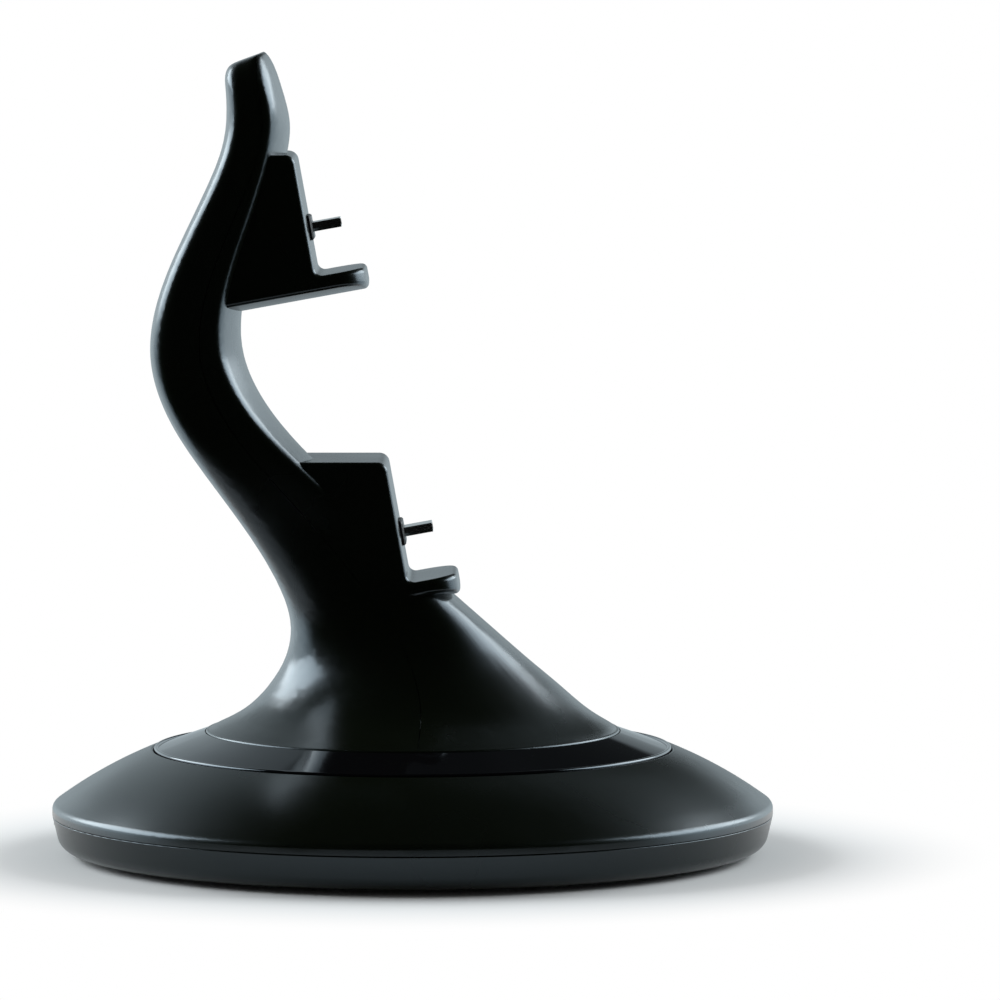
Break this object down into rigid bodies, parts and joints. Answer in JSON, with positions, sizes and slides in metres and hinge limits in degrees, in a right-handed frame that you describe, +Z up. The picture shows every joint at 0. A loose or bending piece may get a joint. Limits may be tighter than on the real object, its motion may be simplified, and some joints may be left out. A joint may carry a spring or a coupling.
{
  "type": "controller charging dock",
  "caption": "Charging dock with a weighted round base, a glossy ring and an S-curved stem that carries forward cradles one above the other, each with a charging plug.",
  "frame": {"origin": "on the table under the middle of the round base", "axes": "+Z up, +X to the front where the cradles open, +Y to the left; symmetric about the XZ plane"},
  "size_m": [0.1404, 0.1404, 0.156],
  "materials": {
    "satin_black": "satin",
    "smoked_gloss": "high gloss",
    "carrier_black": "matt",
    "chip_black": "matt",
    "circuit_board": "semi-gloss lacquer",
    "led_white": "satin",
    "bright_metal": "bright plated",
    "plain_steel": "plain",
    "screw_steel": "plated",
    "foot_rubber": "matt",
    "lead_black": "matt"
  },
  "bodies": {
    "root": {"ballast_plate": "plain_steel", "base_dome": "satin_black", "base_pan": "satin_black", "base_screws": "screw_steel", "charge_chips": "chip_black", "inlet_socket": "bright_metal", "light_ring": "smoked_gloss", "lower_lead": "lead_black", "lower_plug_board": "circuit_board", "lower_plug_carrier": "carrier_black", "lower_plug_core": "chip_black", "lower_plug_screws": "screw_steel", "lower_plug_shell": "bright_metal", "main_board": "circuit_board", "main_board_screws": "screw_steel", "rubber_foot_1": "foot_rubber", "rubber_foot_2": "foot_rubber", "rubber_foot_3": "foot_rubber", "rubber_foot_4": "foot_rubber", "status_leds": "led_white", "stem_front_shell": "satin_black", "stem_rear_shell": "satin_black", "stem_screws": "screw_steel", "upper_lead": "lead_black", "upper_plug_board": "circuit_board", "upper_plug_carrier": "carrier_black", "upper_plug_core": "chip_black", "upper_plug_screws": "screw_steel", "upper_plug_shell": "bright_metal"}
  },
  "joints": []
}
